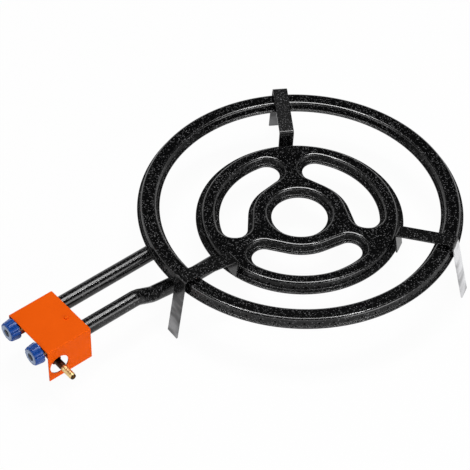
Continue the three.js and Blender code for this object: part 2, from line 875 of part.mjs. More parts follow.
// Elbow under the bar: a level socket for the barb and a riser to the bar
function elbow() {
  const level = rod(elbowRadius, tubeFacets, [elbowLeft, inletY, inletZ], [elbowRight, inletY, inletZ]);
  const riser = rod(riserRadius, tubeFacets, [riserX, barY, inletZ], [riserX, barY, barBottom - gap]);
  const tools = [
    rod(elbowBore, boreFacets, [riserX - elbowBore, inletY, inletZ], [elbowRight + overrun, inletY, inletZ]),
    rod(elbowBore, boreFacets, [riserX, barY, inletZ], [riserX, barY, barBottom + overrun]),
    rod(
      cornerRadius(barbSocket + gap, barbFacets),
      barbFacets,
      [elbowRight - barbSocketDepth - gap, inletY, inletZ],
      [elbowRight + overrun, inletY, inletZ],
    ),
  ];
  add("inlet_elbow", cut(join([level, riser]), tools), orangePaint());
}

// Hose barb along +X: socket end, root collar, then ridges to the tip
function barb() {
  const seat = elbowRight + gap;
  const outline = [
    [barbBore, elbowRight - barbSocketDepth],
    [barbSocket, elbowRight - barbSocketDepth],
    [barbSocket, seat],
    [barbRootRadius, seat],
    [barbRootRadius, barbTipX - barbRidges * barbRidgePitch - barbRootRadius],
    [barbValley, barbTipX - barbRidges * barbRidgePitch - barbRootRadius],
  ];
  for (let ridge = barbRidges; ridge > 0; ridge -= 1) {
    const start = barbTipX - ridge * barbRidgePitch;
    outline.push([barbCrest, start]);
    outline.push([ridge === 1 ? barbTipRadius : barbValley, start + barbRidgePitch]);
  }
  outline.push([barbBore, barbTipX]);
  outline.push([barbBore, elbowRight - barbSocketDepth]);
  const profile = outline.map(([radius, along]) => [radius, -along]).reverse();
  const geometry = lathe(profile, barbFacets, 0, 0).rotateZ(radians(up)).translate(0, inletY, inletZ);
  add("hose_barb", geometry, brass());
}

function tap(name, x) {
  const seat = barFrontY - gap;
  const front = seat - tapLength;
  const body = rod(tapHex, hexFacets, [x, seat, tapZ], [x, front, tapZ]);
  const spigot = rod(tapSpigot, boreFacets, [x, barFrontY + spigotDepth, tapZ], [x, front, tapZ]);
  const hole = cornerRadius(spindleHole, spindleFacets);
  const glandFront = front - gap - glandLength;
  const bore = rod(
    hole,
    spindleFacets,
    [x, barFrontY + spigotDepth + overrun, tapZ],
    [x, glandFront - overrun, tapZ],
  );
  add("tap_body_" + name, cut(join([body, spigot]), [bore]), brass());
  const gland = rod(glandHex, hexFacets, [x, front - gap, tapZ], [x, glandFront, tapZ]);
  add("gland_nut_" + name, cut(gland, [bore]), brass());
  const spindleEnd = barFrontY + spigotDepth - gap;
  const spindleTip = knobBackY - knobLength;
  const spindle = rod(spindleRadius, spindleFacets, [x, spindleEnd, tapZ], [x, spindleTip, tapZ]);
  add("spindle_" + name, spindle, steel());
}

function injector(name, x) {
  const seat = barBackY + gap;
  const hexEnd = seat + injectorLength;
  const tip = hexEnd + injectorTaper;
  const profile = [
    [injectorBore, barBackY - spigotDepth],
    [injectorSpigot, barBackY - spigotDepth],
    [injectorSpigot, seat],
    [injectorHex, seat],
    [injectorHex, hexEnd],
    [injectorTip, tip],
    [injectorBore, tip],
    [injectorBore, barBackY - spigotDepth],
  ];
  add("injector_" + name, lathe(profile, boreFacets, x, outerTubeZ), brass());
}

// Fluted outline of a knob
function knobShape() {
  const points = [];
  const count = knobFlutes * knobFluteSteps;
  for (let step = 0; step < count; step += 1) {
    const angle = (step * 2 * Math.PI) / count;
    const dip = step % knobFluteSteps === 0 ? knobFlute : 0;
    const radius = knobRadius - knobBevel - dip;
    points.push(new THREE.Vector2(radius * Math.cos(angle), radius * Math.sin(angle)));
  }
  return new THREE.Shape(points);
}

function knob(name, x) {
  const depth = knobLength - 2 * knobBevel;
  const body = new THREE.ExtrudeGeometry(knobShape(), {
    depth,
    bevelSize: knobBevel,
    bevelThickness: knobBevel,
    bevelSegments: 1,
  });
  body.rotateX(radians(up)).translate(x, knobBackY - knobBevel, tapZ);
  const spots = body.attributes.position;
  for (let which = 0; which < spots.count; which += 1) {
    const forward = (knobBackY - spots.getY(which)) / knobLength;
    const narrow = 1 + (knobFrontShare - 1) * forward;
    spots.setX(which, x + narrow * (spots.getX(which) - x));
    spots.setZ(which, tapZ + narrow * (spots.getZ(which) - tapZ));
  }
  const hole = cornerRadius(spindleRadius + gap, spindleFacets);
  const bore = rod(
    hole,
    spindleFacets,
    [x, knobBackY + overrun, tapZ],
    [x, knobBackY - knobLength - overrun, tapZ],
  );
  add("knob_" + name, cut(body, [bore]), bluePlastic());
  const face = knobBackY - knobLength - gap;
  const profile = [
    [bezelInner, face],
    [bezelInner, face - bezelThick],
    [bezelRadius - knobBevel, face - bezelThick],
    [bezelRadius, face - bezelThick + knobBevel],
    [bezelRadius, face],
    [bezelInner, face],
  ];
  add("knob_bezel_" + name, lathe(profile, tubeFacets, x, tapZ), palePlastic());
  const disc = rod(bezelInner - gap, tubeFacets, [x, face, tapZ], [x, face - capThick, tapZ]);
  const stub = rod(capScrew, spindleFacets, [x, face, tapZ], [x, face - capThick - knobBevel, tapZ]);
  add("knob_cap_" + name, join([disc, stub]), darkPlastic());
}

outerShell();
outerFloor();
innerShell();
innerFloor();
for (const [name, support] of Object.entries(straps)) {
  strap(name, support);
  strapWelds(name, support);
}
outerTube();
innerTube();
tubeWeld("outer", outerTubeX, outerHem, outerTop - outerDepth);
tubeWeld("inner", innerTubeX, innerHem, innerTop - innerDepth);
hood();
bracket();
hoodScrew();
barScrew();
gasBar();
elbow();
barb();
for (const [name, x] of Object.entries(tapXs)) {
  collar(name, x);
  tap(name, x);
  injector(name, x);
  knob(name, x);
}

export default root;
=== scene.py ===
# Looks of a two-ring paella burner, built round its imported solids.
# Shapes are drawn in millimetres in the solids' own frame and made metres last.
import math

import bmesh
import bpy
from mathutils import Matrix, Vector


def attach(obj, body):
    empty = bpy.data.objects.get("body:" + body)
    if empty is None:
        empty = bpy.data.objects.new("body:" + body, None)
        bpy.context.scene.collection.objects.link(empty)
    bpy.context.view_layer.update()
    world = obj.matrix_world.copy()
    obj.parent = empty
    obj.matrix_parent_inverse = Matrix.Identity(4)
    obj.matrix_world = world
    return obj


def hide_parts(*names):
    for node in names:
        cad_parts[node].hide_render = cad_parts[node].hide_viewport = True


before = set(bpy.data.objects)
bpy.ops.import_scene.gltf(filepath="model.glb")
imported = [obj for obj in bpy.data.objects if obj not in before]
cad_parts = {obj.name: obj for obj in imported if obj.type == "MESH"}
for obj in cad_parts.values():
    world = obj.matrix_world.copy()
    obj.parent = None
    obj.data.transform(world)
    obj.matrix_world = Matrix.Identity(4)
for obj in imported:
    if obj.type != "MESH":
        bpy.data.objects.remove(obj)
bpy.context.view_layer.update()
scene = bpy.context.scene

MM = 0.001
FULL_TURN = 2 * math.pi
# Corners closer than this are merged, in millimetres
MERGE = 0.001

# Pressed burners, as in the solids
SHEET = 1.2
GAP = 0.3
FOLD_RADIUS = 3.4
WALL_RUN = 5.3
HEM_HEIGHT = 2 * SHEET + GAP
HEM_FOOT = 9.6
PORT = 2.4
OUTER = {"top": 93.1, "depth": 13.8, "flat_in": 224.3, "flat_out": 241.2, "hem": 8.8}
INNER = {"top": 68.2, "depth": 13.5, "flat_out": 147.1, "hem": 13.1, "slot_hem": 10.9}
SLOT = {"rim": 134.7, "hub": 68.5, "count": 3, "azimuth": 327, "web": 7.3, "hole": 54.3}
SLOT_CORNERS = {"inner": 28.0, "outer": 31.0}
CONTOUR_STEP = 2.6
CIRCLE_SHARE = 24
# Points closer than this count as one
SAME_SPOT = 0.05
# Least count of flame ports round each wall, and for a slot's rim the sides from port to port
# and those left free at its ends
PORTS = {"outer": 72, "inner": 48, "slot_step": 8, "slot_end": 4}
# Where the flats begin to fall towards their folds, and by how much
SHOULDER = {"from": -0.4, "drop": 0.85}

# Supports
STRAP = {
    "width": 23.3,
    "thick": 2.5,
    "bend": 6.0,
    "edge": 0.45,
    "crown": 104.5,
    "tab": 90.0,
    "tab_slope": 0.138,
}
UPRIGHT = {"aside": 0.0, "lean": 0.0, "slope": 0.24, "on_hem": 0.0}
STRAPS = {
    "rear": {**UPRIGHT, "azimuth": 146.8, "bare": 62.0},
    "right": {**UPRIGHT, "azimuth": 28.0, "bare": 97.0},
    "front": {**UPRIGHT, "azimuth": 266.0, "bare": 72.0},
}
# The front one stands beside the rings' axis and leans, with its tab on the inner hem
STRAPS["front"].update({"aside": 35.4, "lean": 0.075, "slope": 0.21, "on_hem": 5.4})
# Darkest and lightest grey of each leg's bare steel, fitted to the photograph; a painted
# reflection, lighter on the right leg and darker on the others
LEG_PAINTED_REFLECTION_GREYS = {"rear": (0.05, 0.14), "right": (0.35, 0.8), "front": (0.06, 0.3)}

# Feed tubes and the controls
TUBE_RADIUS = 12.3
TUBE_WALL = 2.3
TUBE_X = {"outer": -77.5, "inner": -18.8}
TUBE_Z = 66.7
LOW_TUBE_Z = 42.1
TUBE_MOUTH_Y = -436.0
# Bends of the inner tube as (y, z), their radius, and its creases as (y, depth)
SWAN_NECK = [(-303, TUBE_Z), (-275, TUBE_Z - 13), (-192, LOW_TUBE_Z)]
SWAN_NECK_BEND = 28
CREASES = [(-303, 0.14), (-296, 0.12), (-289, 0.12), (-282, 0.12), (-274, 0.14)]
TAP_Z = 72.5
HOOD = {"left": -95.6, "right": 0.2, "front": -477.0, "back": -400.5, "top": 83.8, "bottom": 22.9}
HOOD_LEFT_BOTTOM = 29.4
HOOD_SHEET = 1.5
HOOD_FOLD = 1.8
TUBE_PLAY = 0.4
SIDE_HOLE = {"radius": 16.0, "z": 47.5}
INLET = {"y": -458.5, "z": 50.0}
SCREW = {"x": -38.6, "y": -416.0, "hole": 2.2}
BEZEL = {"outside": 12.2, "inside": 6.2, "play": 0.15}
CAP_WIDENING = 1.35
KNOB = {
    "radius": 16.4,
    "front_share": 0.9,
    "back": -479.4,
    "length": 13.0,
    "front": 14.9,
    "bore": 3.3,
    "sides": 144,
    "flutes": 12,
    "dip": 2.0,
}
BARB = {"tip_x": 34.5, "ridges": 4, "pitch": 5.2, "bore": 2.8}
BARB_RADIUS = {"crest": 5.3, "valley": 4.6, "end": 4.2}

# Share of the full gloss that pressed sheet and tubes have, the same on all their sides
FOLD_GLOSS = 0.7
TUBE_GLOSS = 0.25
WALL_GLOSS = {"outer": 0.22, "inner": 0.12}

ENAMEL_BLACK = (0.002, 0.002, 0.0022)
FLECK_GREY = (0.19, 0.19, 0.195)

# Camera that matches the photograph: angles in degrees, lengths in metres, a 470 pixel square
PHOTO = {
    "elevation": 45.9797,
    "roll": 1.2729,
    "azimuth": 49.3,
    "distance": 3.015266,
    "focal": 1965.753,
    "origin": (300.1715, 206.1677),
    "origin_height": 0.0805,
    "frame": 470,
}

# Lamps as seen from the camera: to the right, towards it, up, width, depth, brightness
LAMPS = {
    "overhead_softbox": (0.02, -0.52, 2.1, 0.86, 0.6, 13.0),
    "left_spot": (-0.53, -0.1, 2.1, 0.15, 0.15, 65.0),
    "right_spot": (0.57, -0.1, 2.1, 0.15, 0.15, 65.0),
    "right_panel": (2.2, 2.05, 1.4, 2.2, 1.3, 5.2),
    "left_panel": (-2.0, 1.25, 1.3, 1.3, 1.0, 2.6),
    "front_panel": (0.0, 3.2, 1.3, 1.8, 1.2, 1.8),
}
# White backdrop low all round: sines of the heights where it fades, its light, the ceiling's
BACKDROP = {"fade": (0.2, 0.45), "light": 0.5, "ceiling": 0.035}
# Half the floor's side, in millimetres, and how white the floor looks to the camera
FLOOR_REACH = 8000
FLOOR_GLOW = 0.96
# Height that the lamps point at, in metres
LAMP_AIM = 0.08


class Field:
    """A number, colour or vector that varies over a surface, with arithmetic."""

    def __init__(self, paint, socket):
        self.paint = paint
        self.socket = socket

    def _math(self, operation, first, second=0.0):
        return self.paint.node("ShaderNodeMath", {"operation": operation}, {0: first, 1: second})

    def __add__(self, other):
        return self._math("ADD", self, other)

    def __radd__(self, other):
        return self._math("ADD", other, self)

    def __sub__(self, other):
        return self._math("SUBTRACT", self, other)

    def __rsub__(self, other):
        return self._math("SUBTRACT", other, self)

    def __mul__(self, other):
        return self._math("MULTIPLY", self, other)

    def __rmul__(self, other):
        return self._math("MULTIPLY", other, self)

    def over(self, other):
        """The larger of the two."""
        return self._math("MAXIMUM", self, other)

    def step(self, low, high):
        """0 below low, 1 above high, smooth between them."""
        settings = {"interpolation_type": "SMOOTHSTEP"}
        return self.paint.node("ShaderNodeMapRange", settings, {0: self, 1: low, 2: high})


class Nodes:
    """A node tree that is built one node at a time."""

    def __init__(self, tree):
        self.tree = tree

    def feed(self, socket, value):
        if isinstance(value, Field):
            self.tree.links.new(value.socket, socket)
        elif hasattr(value, "__len__") and len(value) == 3 and socket.type == "RGBA":
            socket.default_value = (*value, 1.0)
        else:
            socket.default_value = value

    def node(self, kind, settings, inputs, output=0):
        made = self.tree.nodes.new(kind)
        for key, value in settings.items():
            setattr(made, key, value)
        for key, value in inputs.items():
            self.feed(made.inputs[key], value)
        return Field(self, made.outputs[output])

    def rays(self, kind):
        return self.node("ShaderNodeLightPath", {}, {}, kind)

    def split(self, vector, part):
        return self.node("ShaderNodeSeparateXYZ", {}, {0: vector}, part)

    def finish(self, ending, surface):
        self.feed(self.tree.nodes[ending].inputs["Surface"], surface)


class Paint(Nodes):
    """A material with its shader, and the nodes that vary it."""

    def __init__(self, name, roughness, metallic=0.0, **constants):
        self.material = bpy.data.materials.new(name)
        self.material.use_nodes = True
        super().__init__(self.material.node_tree)
        self.shader = self.tree.nodes["Principled BSDF"]
        self.shader.inputs["Roughness"].default_value = roughness
        self.shader.inputs["Metallic"].default_value = metallic
        for label, value in constants.items():
            self.shader.inputs[label.replace("_", " ")].default_value = value

    def place(self):
        return self.node("ShaderNodeTexCoord", {}, {}, "Object")

    def along(self, part):
        return self.split(self.place(), part)

    def drawn(self, name):
        """A number that the piece's own mesh carries."""
        return self.node("ShaderNodeAttribute", {"attribute_name": name}, {}, "Fac")

    def noise(self, size, detail=2.0, rough=0.5, stretch=(1.0, 1.0, 1.0)):
        """Cloudy noise whose features are about size metres across."""
        place = self.place()
        if stretch != (1.0, 1.0, 1.0):
            place = self.node("ShaderNodeMapping", {}, {"Vector": place, "Scale": stretch})
        inputs = {"Vector": place, "Scale": 1 / size, "Detail": detail, "Roughness": rough}
        return self.node("ShaderNodeTexNoise", {}, inputs, 0)

    def flecks(self, cell, share, radius):
        """Round flecks in a share of cells of that size; radius is a part of a cell."""
        inputs = {"Vector": self.place(), "Scale": 1 / cell, "Randomness": 1.0}
        reach = self.node("ShaderNodeTexVoronoi", {"feature": "F1"}, inputs, "Distance")
        tint = self.node("ShaderNodeTexVoronoi", {"feature": "F1"}, inputs, "Color")
        chance, shade = (
            self.node("ShaderNodeSeparateColor", {}, {0: tint}, part) for part in (0, 1)
        )
        there = (1 - reach.step(radius * 0.55, radius)) * (1 - chance.step(share, share + 0.05))
        return there * (shade * 0.9 + 0.3)

    def blend(self, low, high, share):
        settings = {"data_type": "RGBA", "clamp_factor": True}
        return self.node("ShaderNodeMix", settings, {0: share, 6: low, 7: high}, 2)

    def colour(self, value):
        self.feed(self.shader.inputs["Base Color"], value)

    def roughness(self, value):
        self.feed(self.shader.inputs["Roughness"], value)

    def metallic(self, value):
        self.feed(self.shader.inputs["Metallic"], value)

    def coat(self, value):
        self.feed(self.shader.inputs["Coat Weight"], value)

    def bump(self, height, distance):
        """Relief of that many metres for a height of 1."""
        inputs = {"Strength": 1.0, "Distance": distance, "Height": height}
        self.feed(self.shader.inputs["Normal"], self.node("ShaderNodeBump", {}, inputs))


def enamel_colour(paint):
    """Black with round grey flecks of two sizes, thicker in some places."""
    thick = paint.noise(0.03, 2.0).step(0.3, 0.7) * 0.5 + 0.5
    coarse = paint.flecks(0.0042, 0.8, 0.34) * 0.6
    fine = paint.flecks(0.0025, 0.55, 0.33)
    return paint.blend(ENAMEL_BLACK, FLECK_GREY, coarse.over(fine) * thick)


def enamel():
    """Black vitreous enamel with pale flecks; how glossy it is comes from the piece's mesh."""
    paint = Paint("black_enamel", 0.1, Coat_Roughness=0.2, Coat_IOR=2.0, Specular_IOR_Level=0.05)
    paint.colour(enamel_colour(paint))
    paint.coat(paint.drawn("gloss") * 0.97 + 0.03)
    paint.roughness(paint.noise(0.012, 3.0) * 0.12 + 0.08)
    paint.bump(paint.noise(0.009, 2.0), 0.00005)
    return paint.material


def strap_finish(name, bare, dark, light):
    """Flecked enamel above and bare steel on the leg below the given height, in greys that paint
    the reflection each leg shows.
    """
    paint = Paint("strap_" + name, 0.2, Coat_Roughness=0.2, Coat_IOR=2.0, Specular_IOR_Level=0.08)
    ragged, soft = 0.005, 0.0012
    fall = paint.drawn("fall") + (paint.noise(0.01, 3.0) - 0.5) * ragged
    start = (STRAP["crown"] - bare) * MM
    worn = fall.step(start - soft, start + soft)
    grain = paint.noise(0.0012, 3.0, 0.6)
    patches = paint.noise(0.024, 2.0, 0.5, (0.4, 0.4, 1.0))
    shade = grain * 0.15 + patches.step(0.38, 0.62) * 0.85
    # Painted reflection: each leg's bare steel takes its own dark and light grey
    steel = paint.blend((dark, dark, dark * 1.02), (light, light, light * 1.02), shade)
    paint.colour(paint.blend(enamel_colour(paint), steel, worn))
    paint.metallic(worn)
    paint.roughness(worn * (0.22 + grain * 0.15) + 0.1)
    paint.coat((1 - worn) * 0.4)
    paint.bump(grain * worn * 0.4 + paint.noise(0.009), 0.00005)
    return paint.material


def orange_paint():
    """Satin orange powder coat, with painted shade darkening it inside the hood."""
    paint = Paint("orange_paint", 0.5, Specular_IOR_Level=0.04)
    clouds = paint.noise(0.03, 3.0)
    specks = paint.noise(0.0009, 2.0)
    base = paint.blend((0.83, 0.098, 0.0008), (0.9, 0.113, 0.002), clouds)
    speckled = paint.blend(base, (0.72, 0.085, 0.004), specks.step(0.6, 0.75) * 0.3)
    x, y, z = (paint.along(part) for part in "XYZ")
    depth, soft = 1.0, 0.3

    def short_of(place, wall):
        return 1 - place.step((HOOD[wall] - depth - soft) * MM, (HOOD[wall] - depth) * MM)

    past_left = x.step((HOOD["left"] + depth) * MM, (HOOD["left"] + depth + soft) * MM)
    # Painted shade: the hood's inner faces turn dark maroon, as if out of the light
    inside = past_left * short_of(x, "right") * short_of(y, "back") * short_of(z, "top")
    paint.colour(paint.blend(speckled, (0.2, 0.016, 0.004), inside))
    paint.roughness(clouds * 0.1 + 0.42)
    paint.bump(paint.noise(0.0014, 2.0), 0.00005)
    return paint.material


def zinc():
    """Dull zinc-plated steel."""
    paint = Paint("zinc_steel", 0.38, 1.0)
    patches = paint.noise(0.004, 3.0)
    paint.colour(paint.blend((0.4, 0.4, 0.41), (0.62, 0.62, 0.62), patches))
    paint.roughness(patches * 0.25 + 0.25)
    paint.bump(paint.noise(0.0006, 2.0), 0.00004)
    return paint.material


def brass():
    """Old turned brass with faint tool rings, browned by heat."""
    paint = Paint("brass", 0.22, 1.0)
    tarnish = paint.noise(0.006, 3.0)
    rings = paint.noise(0.0006, 2.0, 0.5, (1.0, 0.08, 0.08))
    paint.colour(paint.blend((0.34, 0.19, 0.08), (0.17, 0.08, 0.035), tarnish.step(0.4, 0.7)))
    paint.roughness(tarnish * 0.2 + 0.3)
    paint.bump(rings, 0.00005)
    return paint.material


def barb_brass():
    """Pale brass of the hose barb, with painted shade darkening its root and its tip round the
    bore.
    """
    paint = Paint("barb_brass", 0.2, 1.0)
    along = paint.along("X")
    tarnish = paint.noise(0.004, 3.0)
    rings = paint.noise(0.0006, 2.0, 0.5, (1.0, 0.08, 0.08))
    gold = paint.blend((0.77, 0.59, 0.28), (0.6, 0.42, 0.17), tarnish.step(0.4, 0.75))
    ragged, rim = 0.004, 1.6
    from_root = along + (tarnish - 0.5) * ragged
    tip = (BARB["tip_x"] - rim) * MM
    # Painted shade: near black at the root by the hood and at the tip round the bore
    clear_of_painted_shade = from_root.step(0.009, 0.014) * (1 - along.step(tip, tip + rim / 2 * MM))
    paint.colour(paint.blend((0.05, 0.022, 0.012), gold, clear_of_painted_shade))
    paint.roughness(tarnish * 0.15 + 0.34)
    paint.bump(rings, 0.00005)
    return paint.material


def knob_plastic():
    """Semi-gloss blue moulding with faint flow clouds."""
    paint = Paint("knob_blue", 0.3, Specular_IOR_Level=0.35)
    clouds = paint.noise(0.008, 3.0)
    paint.colour(paint.blend((0.004, 0.045, 0.25), (0.009, 0.08, 0.36), clouds))
    paint.roughness(clouds * 0.12 + 0.24)
    paint.bump(paint.noise(0.0007, 2.0), 0.00003)
    return paint.material


def bezel_plastic():
    """Grey-blue dial face with light scuffs."""
    paint = Paint("knob_bezel", 0.35)
    clouds = paint.noise(0.005, 3.0)
    paint.colour(paint.blend((0.13, 0.19, 0.32), (0.27, 0.35, 0.54), clouds.step(0.3, 0.7)))
    paint.roughness(clouds * 0.15 + 0.22)
    paint.bump(paint.noise(0.0007, 2.0), 0.00003)
    return paint.material


def cap_plastic():
    """Dark centre cap."""
    paint = Paint("knob_cap", 0.4, Specular_IOR_Level=0.2)
    clouds = paint.noise(0.003, 3.0)
    paint.colour(paint.blend((0.002, 0.004, 0.01), (0.008, 0.012, 0.024), clouds))
    paint.roughness(clouds * 0.2 + 0.35)
    paint.bump(paint.noise(0.0007, 2.0), 0.00003)
    return paint.material


ENAMEL = enamel()
ORANGE = orange_paint()
ZINC = zinc()
BRASS = brass()
BARB_BRASS = barb_brass()
BLUE = knob_plastic()
DIAL = bezel_plastic()
CAP = cap_plastic()


def finish_piece(piece, finish, body, replaced, crease=35):
    """Shades a mesh whose place is in its vertices, and sets it on its body."""
    mesh = piece.data
    mesh.materials.clear()
    mesh.materials.append(finish)
    mesh.shade_smooth()
    mesh.set_sharp_from_angle(angle=math.radians(crease))
    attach(piece, body)
    if replaced:
        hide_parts(*replaced)
    return piece


def piece_from(name, bm, scale=MM):
    """Makes an object of a bmesh drawn in millimetres."""
    bmesh.ops.scale(bm, vec=(scale,) * 3, verts=bm.verts)
    mesh = bpy.data.meshes.new(name)
    bm.to_mesh(mesh)
    bm.free()
    piece = bpy.data.objects.new(name, mesh)
    scene.collection.objects.link(piece)
    return piece


def even_shading(piece):
    """Lets the wide flat faces set the shading where they meet small folds."""
    weighted = piece.modifiers.new("even_shading", "WEIGHTED_NORMAL")
    weighted.keep_sharp = True
    weighted.weight = 100


def rounded_section(corners, segments):
    """Rounds a section's corners, given as (run, height, radius), and returns its points."""
    bm = bmesh.new()
    verts = [bm.verts.new((run, 0, height)) for run, height, _ in corners]
    bm.faces.new(verts)
    for radius in sorted({radius for _, _, radius in corners if radius > 0}):
        chosen = [vert for vert, corner in zip(verts, corners) if corner[2] == radius]
        bmesh.ops.bevel(
            bm,
            geom=chosen,
            offset=radius,
            offset_type="OFFSET",
            segments=segments,
            profile=0.5,
            affect="VERTICES",
            material=-1,
        )
    bm.faces.ensure_lookup_table()
    points = [(vert.co.x, vert.co.z) for vert in bm.faces[0].verts]
    bm.free()
    start = min(range(len(points)), key=lambda k: math.dist(points[k], corners[0][:2]))
    points = points[start:] + points[:start]
    if math.dist(points[1], corners[1][:2]) > math.dist(points[-1], corners[1][:2]):
        points = points[:1] + points[:0:-1]
    return points


def along_arc(centre, radius, start, end, sense):
    """Points and unit normals of an arc, about one contour step apart."""
    steps = max(6, round(radius * abs(math.radians(end - start)) / CONTOUR_STEP))
    points = []
    for step in range(steps + 1):
        angle = math.radians(start + (end - start) * step / steps)
        x, y = math.cos(angle), math.sin(angle)
        points.append((centre[0] + radius * x, centre[1] + radius * y, sense * x, sense * y))
    return points


def circle_contour(radius, sense):
    """Closed circle with points and unit normals, in a multiple of CIRCLE_SHARE sides."""
    count = CIRCLE_SHARE * round(radius * FULL_TURN / CONTOUR_STEP / CIRCLE_SHARE)
    points = []
    for step in range(count):
        angle = sense * FULL_TURN * step / count
        x, y = math.cos(angle), math.sin(angle)
        points.append((radius * x, radius * y, sense * x, sense * y))
    return points


def polar(radius, azimuth):
    return radius * math.cos(math.radians(azimuth)), radius * math.sin(math.radians(azimuth))


def slot_contour(azimuth):
    """Flat edge of one opening between the hub, two webs and the rim."""
    web = 180 / SLOT["count"]
    rim, hub = SLOT["rim"], SLOT["hub"]
    small, large = SLOT_CORNERS["inner"], SLOT_CORNERS["outer"]
    inner_centre = (hub + rim) / 2
    outer_centre = rim - large
    inner_span = web - math.degrees(math.asin((SLOT["web"] + small) / inner_centre))
    outer_span = web - math.degrees(math.asin((SLOT["web"] + large) / outer_centre))
    hub_span = inner_span - math.degrees(math.acos((hub + small) / inner_centre))
    side = web + 90
    centre = (0, 0)
    points = along_arc(centre, hub, azimuth - hub_span, azimuth + hub_span, 1)
    arcs = [
        (polar(inner_centre, azimuth + inner_span), small, hub_span + 180, side),
        (polar(outer_centre, azimuth + outer_span), large, side, outer_span),
        (centre, rim, outer_span, -outer_span),
        (polar(outer_centre, azimuth - outer_span), large, -outer_span, -side),
        (polar(inner_centre, azimuth - inner_span), small, -side, -hub_span - 180),
    ]
    for middle, radius, start, end in arcs:
        points += along_arc(middle, radius, azimuth + start, azimuth + end, -1)
    kept = []
    for point in points:
        if not kept or math.dist(point[:2], kept[-1][:2]) > SAME_SPOT:
            kept.append(point)
    if math.dist(kept[0][:2], kept[-1][:2]) <= SAME_SPOT:
        kept.pop()
    return kept


def grow_loop(bm, loop, edges, spots):
    """Extrudes a closed loop of edges and moves its new vertices to the given spots."""
    index = {vert: k for k, vert in enumerate(loop)}
    made = bmesh.ops.extrude_edge_only(bm, edges=edges)["geom"]
    fresh = [None] * len(loop)
    for vert in (item for item in made if isinstance(item, bmesh.types.BMVert)):
        for edge in vert.link_edges:
            k = index.get(edge.other_vert(vert))
            if k is not None:
                fresh[k] = vert
    for vert, spot in zip(fresh, spots):
        vert.co = spot
    members = set(fresh)
    next_edges = [
        item
        for item in made
        if isinstance(item, bmesh.types.BMEdge) and set(item.verts) <= members
    ]
    return fresh, next_edges


def start_loop(bm, spots):
    loop = [bm.verts.new(spot) for spot in spots]
    edges = [bm.edges.new((loop[k], loop[(k + 1) % len(loop)])) for k in range(len(loop))]
    return loop, edges


def shine(height, wall):
    """Gloss at a height over a pressed top, the same all round and fitted to the photograph."""
    spots = [(0.0, 0.08), (-0.06, 0.8), (-0.4, 0.9), (-2.2, 0.4), (-3.2, wall)]
    spots += [(-HEM_FOOT, wall), (-HEM_FOOT - 1.2, 0.5)]
    for (above, gloss), (below, next_gloss) in zip(spots, spots[1:]):
        if height >= below:
            return gloss + (next_gloss - gloss) * (above - height) / (above - below)
    return spots[-1][1]


def pressed(contours, top, wall_gloss):
    """Sweeps contours through their rows of (run, height) and closes the flats.

    The first contour is the outer wall.
    """
    bm = bmesh.new()
    gloss = bm.verts.layers.float.new("gloss")
    grids, firsts, lasts = [], [], []
    for which, (points, rows) in enumerate(contours):
        spots = [
            [(x + run * nx, y + run * ny, height) for x, y, nx, ny in points]
            for run, height in rows
        ]
        loop, edges = start_loop(bm, spots[0])
        grid = [loop]
        firsts += edges
        for row in spots[1:]:
            loop, edges = grow_loop(bm, loop, edges, row)
            grid.append(loop)
        lasts += edges
        grids.append(grid)
        for row, (_, height) in zip(grid, rows):
            shown = FOLD_GLOSS * shine(height - top, 0.0 if which else wall_gloss)
            for vert in row:
                vert[gloss] = shown
    bmesh.ops.triangle_fill(bm, edges=firsts, use_beauty=True, normal=(0, 0, 1))
    bmesh.ops.triangle_fill(bm, edges=lasts, use_beauty=True, normal=(0, 0, 1))
    bmesh.ops.recalc_face_normals(bm, faces=bm.faces)
    return bm, grids


def quad_at(grid, row, side):
    loop, below = grid[row], grid[row + 1]
    after = (side + 1) % len(loop)
    corners = {loop[side], loop[after], below[side], below[after]}
    for face in loop[side].link_faces:
        if set(face.verts) == corners:
            return face
    return None


def open_port(bm, grid, outside, inside, side):
    """Cuts a flame port through the wall between two rows."""
    faces = [quad_at(grid, row, side) for row in (outside, inside)]
    if None in faces:
        return
    edges = [edge for face in faces for edge in face.edges]
    bmesh.ops.delete(bm, geom=faces, context="FACES_ONLY")
    bmesh.ops.bridge_loops(bm, edges=edges)


def shell_section(depth, hem_run):
    """Outer skin over the fold and down to the flange, and back along the inner skin."""
    slope = (WALL_RUN - FOLD_RADIUS) / (depth - HEM_HEIGHT - FOLD_RADIUS)
    foot = HEM_HEIGHT - depth
    middle = -(FOLD_RADIUS + depth - HEM_HEIGHT) / 2
    flange = hem_run - SHEET - GAP

    def wall(height):
        return FOLD_RADIUS + slope * (-height - FOLD_RADIUS)

    corners = [
        (SHOULDER["from"] - 0.8, 0, 0),
        (SHOULDER["from"], 0, 0.3),
        (wall(-SHOULDER["drop"]), -SHOULDER["drop"], 2.2),
        (wall(middle + PORT / 2), middle + PORT / 2, 0),
        (wall(middle - PORT / 2), middle - PORT / 2, 0),
        (WALL_RUN, foot, 0.9),
        (flange, foot, 0.3),
        (flange, foot - SHEET, 0.3),
        (WALL_RUN - SHEET, foot - SHEET, 0.9),
        (wall(middle - PORT / 2) - SHEET, middle - PORT / 2, 0),
        (wall(middle + PORT / 2) - SHEET, middle + PORT / 2, 0),
        (wall(0) - SHEET, -SHEET, 1.3),
        (0, -SHEET, 0),
    ]
    return rounded_section(corners, 6)


def port_rows(rows, depth):
    """Rows from which a port's side starts, on the outer skin and on the inner one."""
    middle = -(FOLD_RADIUS + depth - HEM_HEIGHT) / 2

    def rows_at(level):
        return [k for k, (_, height) in enumerate(rows) if abs(height - level) < SAME_SPOT]

    return rows_at(middle + PORT / 2)[0], rows_at(middle - PORT / 2)[-1]


